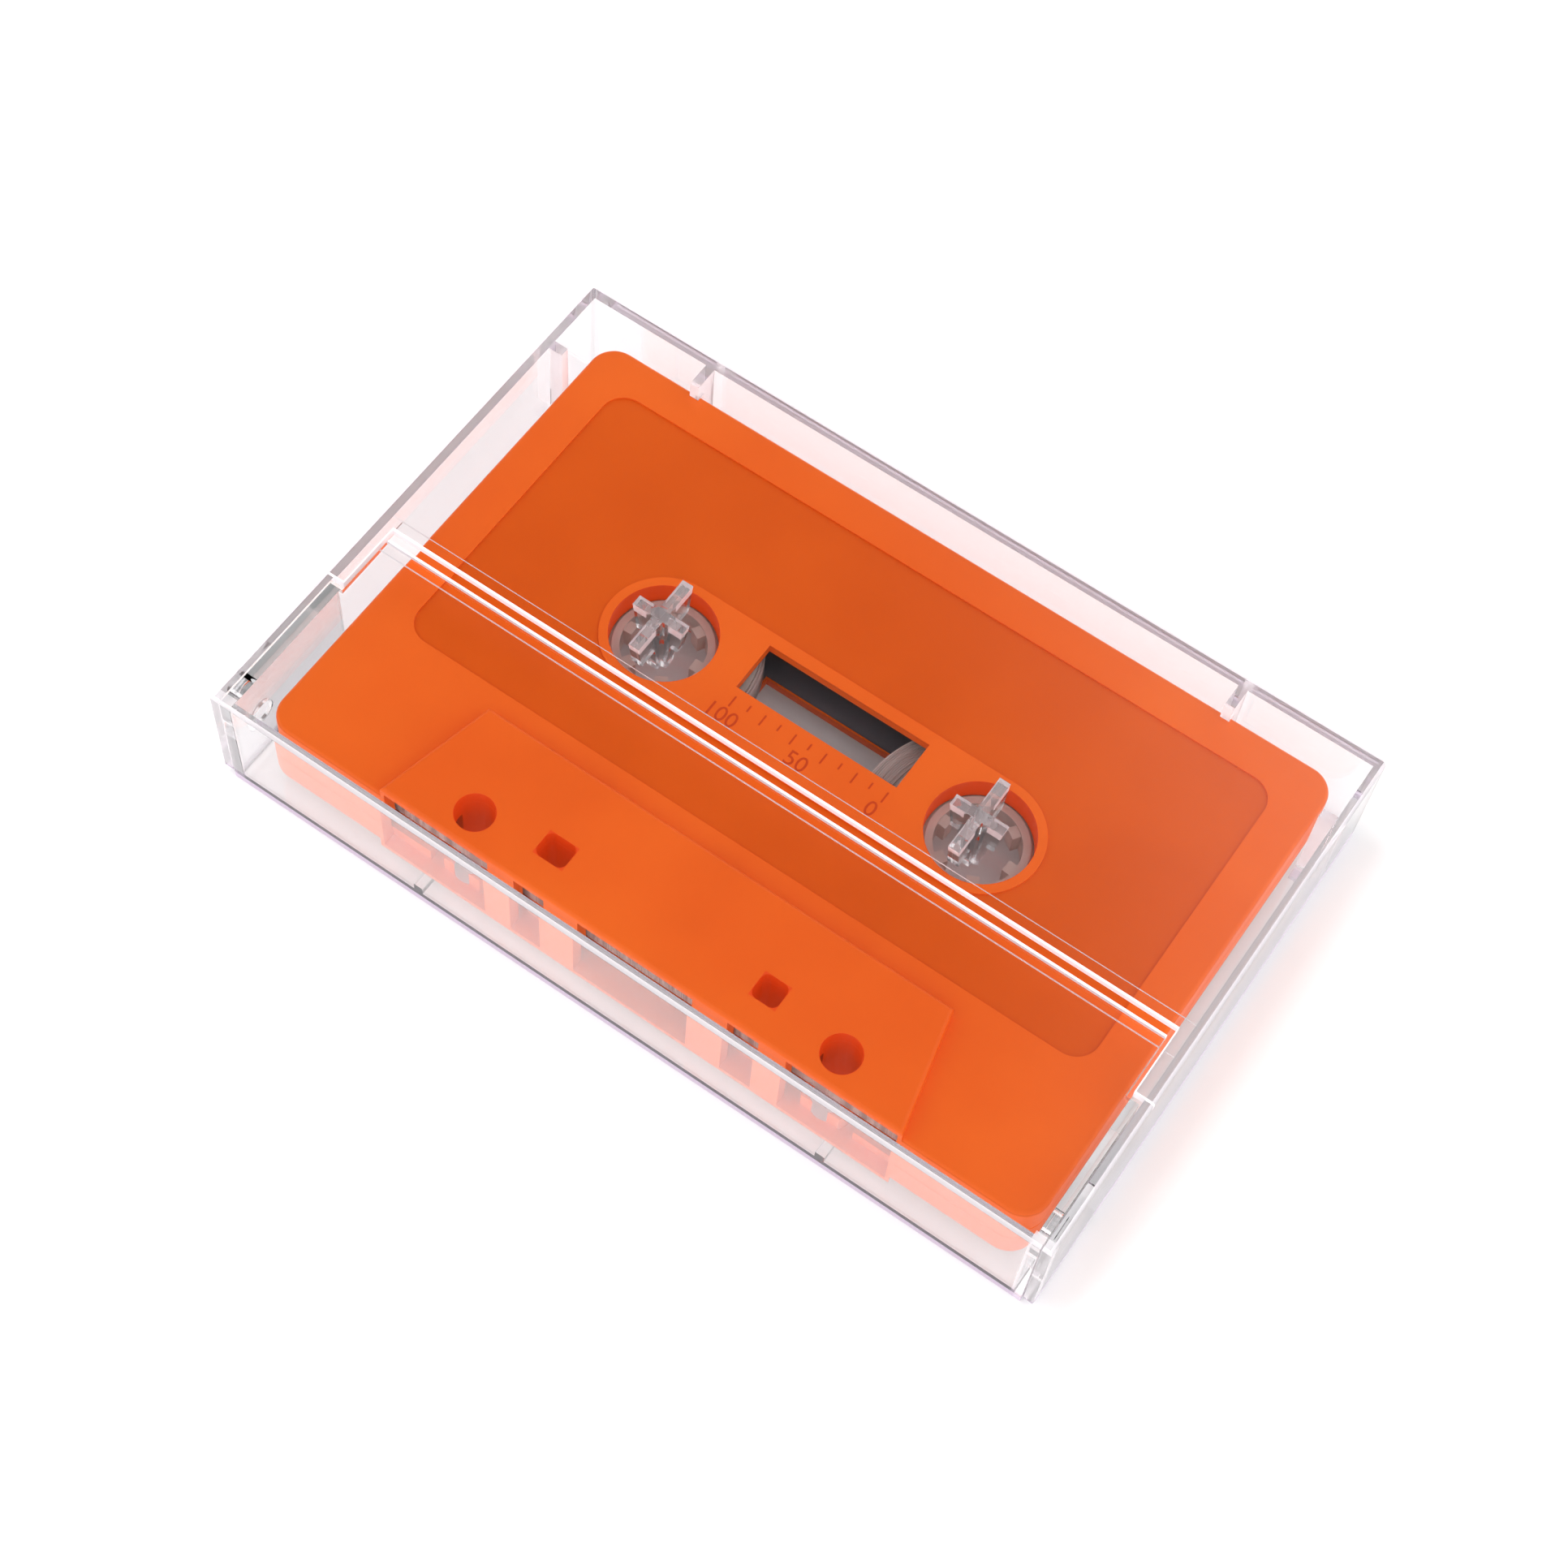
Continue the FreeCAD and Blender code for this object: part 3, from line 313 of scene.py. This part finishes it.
def milky_hub():
    finish = Finish("milky_hub")
    cloud = finish.ease(finish.speckle(0.35, 2.0), 0.3, 0.7)
    grain = finish.speckle(6.0, 2.0)
    finish.set(base_color=finish.blend(cloud, colour(250, 238, 230), colour(241, 227, 219)),
               roughness=0.28 + 0.12 * grain, transmission_weight=0.55, ior=1.49)
    finish.relief(grain, 0.006, 0.4)
    return finish.material


def leader_tape():
    finish = Finish("leader_tape")
    sides = []
    for side in (-1, 1):
        dx = finish.x - (CASSETTE.x + side * HUB_SPACING / 2)
        dy = finish.y - (CASSETTE.y + HUB_FROM_FRONT)
        sides.append((dx * dx + dy * dy) ** 0.5)
    nearest = sides[0].math("MINIMUM", sides[1])
    turns = finish.node("ShaderNodeTexNoise", {"noise_dimensions": "1D"}, {"W": nearest, "Scale": 5.0, "Detail": 2.0})
    band = finish.ease(Value(finish, turns.outputs[0]), 0.35, 0.65)
    finish.set(base_color=finish.blend(band, colour(214, 197, 192), colour(170, 152, 148)),
               roughness=0.22 + 0.12 * band, transmission_weight=0.25, ior=1.55)
    finish.relief(band, 0.01, 0.3)
    return finish.material


def graphite_sheet():
    finish = Finish("graphite_sheet")
    streak = finish.speckle(0.5, 4.0, (0.15, 1.0, 1.0))
    finish.set(base_color=finish.blend(streak, colour(92, 86, 92), colour(108, 101, 106)),
               roughness=0.55 + 0.15 * streak, metallic=0.15)
    finish.relief(streak, 0.01, 0.3)
    return finish.material


def white_roller():
    finish = Finish("white_roller")
    grain = finish.speckle(5.0, 2.0)
    finish.set(base_color=finish.blend(grain, colour(236, 233, 226), colour(224, 221, 213)),
               roughness=0.4 + 0.15 * grain)
    finish.relief(grain, 0.006, 0.3)
    return finish.material


def drawn_steel():
    finish = Finish("drawn_steel")
    streak = finish.speckle(8.0, 2.0, (0.1, 1.0, 1.0))
    finish.set(base_color=finish.blend(streak, colour(196, 196, 198), colour(170, 170, 174)),
               roughness=0.25 + 0.15 * streak, metallic=1.0)
    finish.relief(streak, 0.003, 0.3)
    return finish.material


def spring_bronze():
    finish = Finish("spring_bronze")
    streak = finish.speckle(6.0, 2.0, (0.12, 1.0, 1.0))
    finish.set(base_color=finish.blend(streak, colour(205, 150, 96), colour(180, 124, 74)),
               roughness=0.28 + 0.12 * streak, metallic=1.0)
    finish.relief(streak, 0.003, 0.3)
    return finish.material


def pressed_felt():
    finish = Finish("pressed_felt")
    fibre = finish.speckle(7.0, 5.0, (1.0, 0.4, 1.0))
    finish.set(base_color=finish.blend(fibre, colour(222, 206, 176), colour(190, 172, 140)),
               roughness=0.9 + 0.08 * fibre)
    finish.relief(fibre, 0.08, 0.8)
    return finish.material


def table_top():
    """White table that keeps the object's soft shadow, a little brighter seen through the clear margins, with a painted
    shadow under the cassette.
    """
    finish = Finish("table_top")
    path = finish.node("ShaderNodeLightPath")
    # Painted shadow: the glow seen through the case is lowered to GLOW_UNDER within the cassette's footprint.
    middle = CASSETTE + Vector((0.0, CASSETTE_HALF_DEPTH, 0.0))
    beside = finish.ease((finish.x - middle.x).size(), CASSETTE_HALF_LENGTH - GLOW_INSIDE,
                         CASSETTE_HALF_LENGTH + GLOW_OUTSIDE, GLOW_UNDER)
    beyond = finish.ease((finish.y - middle.y).size(), CASSETTE_HALF_DEPTH - GLOW_INSIDE,
                         CASSETTE_HALF_DEPTH + GLOW_OUTSIDE, GLOW_UNDER)
    through = beside.at_least(beyond) * path.outputs["Is Transmission Ray"]
    straight = Value(finish, path.outputs["Is Camera Ray"]) * TABLE_LIFT
    finish.set(base_color=(0.84, 0.84, 0.843, 1.0), roughness=0.8, specular_ior_level=0.2,
               emission_color=(1.0, 1.0, 1.0, 1.0), emission_strength=through * TABLE_GLOW + straight)
    return finish.material


# Geometry node trees for what repeats


def new_tree(name, inputs):
    tree = bpy.data.node_groups.new(name, "GeometryNodeTree")
    for label, kind, default in inputs:
        socket = tree.interface.new_socket(label, in_out="INPUT", socket_type=kind)
        if default is not None:
            socket.default_value = default
    tree.interface.new_socket("Geometry", in_out="OUTPUT", socket_type="NodeSocketGeometry")
    return tree, tree.nodes.new("NodeGroupInput"), tree.nodes.new("NodeGroupOutput")


def scale_tree():
    """A row of raised lines, every second one shorter."""
    length = "NodeSocketFloat"
    tree, given, result = new_tree("scale_lines", [
        ("Count", "NodeSocketInt", SCALE_COUNT), ("Pitch", length, SCALE_PITCH * MM),
        ("Long", length, SCALE_LONG * MM), ("Short", length, SCALE_SHORT * MM),
        ("Line", length, SCALE_LINE * MM), ("Relief", length, SCALE_RELIEF * MM),
        ("Plastic", "NodeSocketMaterial", None)])
    bench = Bench(tree)
    step = bench.node("ShaderNodeCombineXYZ", None, {0: given.outputs["Pitch"]})
    row = bench.node("GeometryNodeMeshLine", {"mode": "OFFSET"},
                     {"Count": given.outputs["Count"], "Offset": step.outputs[0]})
    size = bench.node("ShaderNodeCombineXYZ", None,
                      {0: given.outputs["Line"], 1: given.outputs["Long"], 2: given.outputs["Relief"]})
    line = bench.node("GeometryNodeMeshCube", None, {"Size": size.outputs[0]})
    drop = bench.math("MULTIPLY", given.outputs["Long"], -0.5)
    shift = bench.node("ShaderNodeCombineXYZ", None, {1: drop})
    hung = bench.node("GeometryNodeTransform", None, {"Geometry": line.outputs[0], "Translation": shift.outputs[0]})
    index = bench.node("GeometryNodeInputIndex").outputs[0]
    odd = bench.math("MODULO", index, 2.0)
    ratio = bench.math("DIVIDE", given.outputs["Short"], given.outputs["Long"])
    shorter = bench.math("MULTIPLY", odd, bench.math("SUBTRACT", 1.0, ratio))
    scale = bench.node("ShaderNodeCombineXYZ", None, {0: 1.0, 1: bench.math("SUBTRACT", 1.0, shorter), 2: 1.0})
    lines = bench.node("GeometryNodeInstanceOnPoints", None,
                       {"Points": row.outputs[0], "Instance": hung.outputs[0], "Scale": scale.outputs[0]})
    real = bench.node("GeometryNodeRealizeInstances", None, {0: lines.outputs[0]})
    dressed = bench.node("GeometryNodeSetMaterial", None,
                         {"Geometry": real.outputs[0], "Material": given.outputs["Plastic"]})
    tree.links.new(dressed.outputs[0], result.inputs[0])
    return tree


def turns_tree():
    """Concentric turns of tape, each a thin band, with small random steps between their edges."""
    length = "NodeSocketFloat"
    tree, given, result = new_tree("tape_turns", [
        ("Count", "NodeSocketInt", 3), ("Start", length, PACK_INNER * MM), ("Turn", length, PACK_TURN * MM),
        ("Width", length, PACK_WIDTH * MM), ("Step", length, 0.05 * MM), ("Seed", "NodeSocketInt", 4),
        ("Tape", "NodeSocketMaterial", None)])
    bench = Bench(tree)
    row = bench.node("GeometryNodeMeshLine", {"mode": "OFFSET"}, {"Count": given.outputs["Count"]})
    index = bench.node("GeometryNodeInputIndex").outputs[0]
    jitter = bench.node("FunctionNodeRandomValue", {"data_type": "FLOAT"},
                        {2: -1.0, 3: 1.0, "ID": index, "Seed": given.outputs["Seed"]})
    rise = bench.math("MULTIPLY", jitter.outputs[1], given.outputs["Step"])
    place = bench.node("ShaderNodeCombineXYZ", None, {2: rise})
    points = bench.node("GeometryNodeSetPosition", None, {"Geometry": row.outputs[0], "Position": place.outputs[0]})
    middle = bench.math("ADD", index, 0.5)
    radius = bench.math("ADD", given.outputs["Start"], bench.math("MULTIPLY", middle, given.outputs["Turn"]))
    circle = bench.node("GeometryNodeCurvePrimitiveCircle", {"mode": "RADIUS"}, {"Resolution": 160, "Radius": 1.0})
    scale = bench.node("ShaderNodeCombineXYZ", None, {0: radius, 1: radius, 2: 1.0})
    rings = bench.node("GeometryNodeInstanceOnPoints", None,
                       {"Points": points.outputs[0], "Instance": circle.outputs[0], "Scale": scale.outputs[0]})
    real = bench.node("GeometryNodeRealizeInstances", None, {0: rings.outputs[0]})
    section = bench.node("GeometryNodeCurvePrimitiveQuadrilateral", {"mode": "RECTANGLE"},
                         {0: given.outputs["Turn"], 1: given.outputs["Width"]})
    bands = bench.node("GeometryNodeCurveToMesh", None,
                       {"Curve": real.outputs[0], "Profile Curve": section.outputs[0]})
    dressed = bench.node("GeometryNodeSetMaterial", None,
                         {"Geometry": bands.outputs[0], "Material": given.outputs["Tape"]})
    tree.links.new(dressed.outputs[0], result.inputs[0])
    return tree


def grown(name, tree, place, **inputs):
    """The tree's result as a plain mesh, moved to its place with the object left at the origin."""
    seed = bpy.data.objects.new("seed", bpy.data.meshes.new("seed"))
    bpy.context.scene.collection.objects.link(seed)
    modifier = seed.modifiers.new("grow", "NODES")
    modifier.node_group = tree
    sockets = {item.name: item.identifier for item in tree.interface.items_tree if item.in_out == "INPUT"}
    for label, value in inputs.items():
        modifier[sockets[label]] = value
    evaluated = seed.evaluated_get(bpy.context.evaluated_depsgraph_get())
    mesh = bpy.data.meshes.new_from_object(evaluated)
    seed.modifiers.remove(modifier)
    bpy.data.objects.remove(seed)
    mesh.name = name
    mesh.transform(place)
    return shown(name, mesh)


def shown(name, mesh):
    piece = bpy.data.objects.new(name, mesh)
    bpy.context.scene.collection.objects.link(piece)
    return piece


def seat(x, y, z, turned=False):
    """A place in the cassette's own frame; turned puts it on the lower face, reading from below."""
    matrix = Matrix.Translation(Vector((x, y, z)) * MM)
    if turned:
        matrix = Matrix.Rotation(math.pi, 4, "Y") @ matrix
    return Matrix.Translation(CASSETTE * MM) @ matrix


# The pieces


def window_scale(face, turned, plastic):
    """Raised lines and plain numbers beside the window, on one face of the shell."""
    start = -SCALE_PITCH * (SCALE_COUNT - 1) / 2 + 0.2
    height = BODY_HALF + SCALE_RELIEF / 2 - 0.01
    lines = grown("scale_lines_" + face, scale_tree(), seat(start, SCALE_FROM_FRONT, height, turned), Plastic=plastic)
    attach(lines, "pocket")
    for text, x in (("100", -10.1), ("50", 0.0), ("0", 9.9)):
        curve = bpy.data.curves.new("numeral", "FONT")
        curve.body = text
        curve.size = NUMERAL_SIZE * MM * 1.4
        curve.align_x = "CENTER"
        curve.align_y = "CENTER"
        curve.extrude = SCALE_RELIEF * MM / 2
        curve.resolution_u = 6
        flat = bpy.data.objects.new("numeral", curve)
        bpy.context.scene.collection.objects.link(flat)
        mesh = bpy.data.meshes.new_from_object(flat.evaluated_get(bpy.context.evaluated_depsgraph_get()))
        bpy.data.objects.remove(flat)
        mesh.transform(seat(x, NUMERAL_FROM_FRONT, height, turned))
        mesh.materials.clear()
        mesh.materials.append(plastic)
        numeral = shown("numeral_" + text + "_" + face, mesh)
        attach(numeral, "pocket")


def wound_tape(side, radius, tape):
    """The turns of one pack, in place of the plain ring."""
    x = -HUB_SPACING / 2 if side == "left" else HUB_SPACING / 2
    count = max(2, round((radius - PACK_INNER) / PACK_TURN))
    turn = (radius - PACK_INNER) / count
    pack = grown("tape_turns_" + side, turns_tree(), seat(x, HUB_FROM_FRONT, 0), Count=count, Turn=turn * MM, Tape=tape)
    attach(pack, side + "_reel")
    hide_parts("tape_pack_" + side)


def leaf_spring(node):
    """The pad's spring, a copy of the stiff node put in its place and hung from the pocket."""
    piece = shown("pad_spring_leaf", node.data.copy())
    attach(piece, "pocket")
    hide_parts("pad_spring")
    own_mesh(piece)


def dress(nodes, finishes):
    """Gives every CAD node the finish of its material slot."""
    for entry in frame["record"]["subparts"]:
        node = nodes[entry["node"]]
        node.data.materials.clear()
        node.data.materials.append(finishes[entry["material_slot"]])


def table():
    """The white table the case lies on."""
    mesh = bpy.data.meshes.new("table")
    reach, level = 3.0, -TABLE_DROP * MM
    mesh.from_pydata([(-reach, -reach, level), (reach, -reach, level), (reach, reach, level), (-reach, reach, level)],
                     [], [(0, 1, 2, 3)])
    mesh.materials.append(table_top())
    piece = shown("table", mesh)


def lamp(name, place, aim, width, height, watts):
    """A panel of light that lights surfaces but shows in no mirror and through no plastic."""
    light = bpy.data.lights.new(name, "AREA")
    light.shape = "RECTANGLE"
    light.size = width
    light.size_y = height
    light.energy = watts
    holder = bpy.data.objects.new(name, light)
    holder.location = place
    holder.visible_transmission = False
    holder.visible_glossy = False
    holder.rotation_euler = (Vector(aim) - Vector(place)).to_track_quat("-Z", "Y").to_euler()
    bpy.context.scene.collection.objects.link(holder)


TABLE_LIFT = 0.08
TABLE_GLOW = 0.30
GLOW_UNDER = 0.3
GLOW_INSIDE = 4.0
GLOW_OUTSIDE = 1.5
TABLE_DROP = 0.05
SKY_LEVEL = 1.32
SKY_CARD = 0.06
SKY_CARD_TOWARDS = (-0.40, 0.20, 0.89)
SKY_CARD_OUTER = 30.0
SKY_CARD_INNER = 18.0
GLOSS_LEVEL = 0.26


def studio():
    """A white surround with a soft dark card overhead, where the flat panel would mirror it."""
    world = bpy.data.worlds.new("studio")
    bpy.context.scene.world = world
    world.use_nodes = True
    bench = Bench(world.node_tree)
    background = bench.tree.nodes["Background"]
    background.inputs["Color"].default_value = (1.0, 1.0, 1.0, 1.0)
    direction = bench.tree.nodes.new("ShaderNodeTexCoord").outputs["Generated"]
    towards = bench.node("ShaderNodeVectorMath", {"operation": "DOT_PRODUCT"},
                         {0: direction, 1: Vector(SKY_CARD_TOWARDS).normalized()})
    card = bench.eased(towards.outputs["Value"], math.cos(math.radians(SKY_CARD_OUTER)),
                       math.cos(math.radians(SKY_CARD_INNER)), SKY_LEVEL, SKY_CARD)
    path = bench.node("ShaderNodeLightPath")
    mirrored = bench.math("SUBTRACT", path.outputs["Is Glossy Ray"], path.outputs["Is Transmission Ray"], True)
    dimmed = bench.math("MULTIPLY", mirrored, GLOSS_LEVEL - 1.0)
    level = bench.math("MULTIPLY", card, bench.math("ADD", dimmed, 1.0))
    bench.feed(background.inputs["Strength"], bench.math("MAXIMUM", level, path.outputs["Is Camera Ray"]))
    lamp("key", (-0.16, -0.02, 0.74), (0.0, 0.0, 0.0), 0.16, 0.16, 1.5)
    lamp("fill", (-0.45, -0.45, 0.50), (0.0, 0.0, 0.0), 0.5, 0.4, 0.9)


def camera():
    data = bpy.data.cameras.new("camera")
    data.angle = math.radians(CAMERA_ANGLE)
    data.clip_start = 0.01
    data.clip_end = 20.0
    holder = bpy.data.objects.new("camera", data)
    azimuth, elevation = math.radians(CAMERA_AZIMUTH), math.radians(CAMERA_ELEVATION)
    aim = Vector((-math.sin(azimuth) * math.cos(elevation), math.cos(azimuth) * math.cos(elevation),
                  -math.sin(elevation)))
    turn = aim.to_track_quat("-Z", "Y").to_matrix() @ Matrix.Rotation(math.radians(CAMERA_ROLL), 3, "Z")
    holder.matrix_world = Matrix.Translation(CAMERA_PLACE * MM) @ turn.to_4x4()
    bpy.context.scene.collection.objects.link(holder)
    bpy.context.scene.camera = holder


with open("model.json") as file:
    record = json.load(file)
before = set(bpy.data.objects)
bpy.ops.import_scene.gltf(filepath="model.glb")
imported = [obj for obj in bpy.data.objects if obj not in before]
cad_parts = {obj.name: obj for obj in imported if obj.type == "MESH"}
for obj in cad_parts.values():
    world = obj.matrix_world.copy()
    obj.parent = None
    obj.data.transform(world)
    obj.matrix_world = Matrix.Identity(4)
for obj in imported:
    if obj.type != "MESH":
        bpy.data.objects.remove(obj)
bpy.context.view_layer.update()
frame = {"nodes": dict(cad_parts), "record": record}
bpy.context.scene.cycles.max_bounces = 11
bpy.context.scene.cycles.diffuse_bounces = 3
bpy.context.scene.cycles.glossy_bounces = 5
bpy.context.scene.cycles.transmission_bounces = 11
bpy.context.scene.cycles.blur_glossy = 0.0
bpy.context.scene.view_settings.view_transform = "Standard"

finishes = {
    "clear_plastic": clear_polystyrene(),
    "orange_plastic": orange_shell(),
    "hub_plastic": milky_hub(),
    "leader_tape": leader_tape(),
    "liner_sheet": graphite_sheet(),
    "roller_plastic": white_roller(),
    "steel": drawn_steel(),
    "spring_bronze": spring_bronze(),
    "felt": pressed_felt(),
}
dress(frame["nodes"], finishes)
# The scale and numerals take the painted darker orange.
shaded_mark = shaded_orange_mark()
window_scale("upper", False, shaded_mark)
window_scale("lower", True, shaded_mark)
wound_tape("left", LEFT_PACK, finishes["leader_tape"])
wound_tape("right", RIGHT_PACK, finishes["leader_tape"])
leaf_spring(frame["nodes"]["pad_spring"])
table()
studio()
camera()
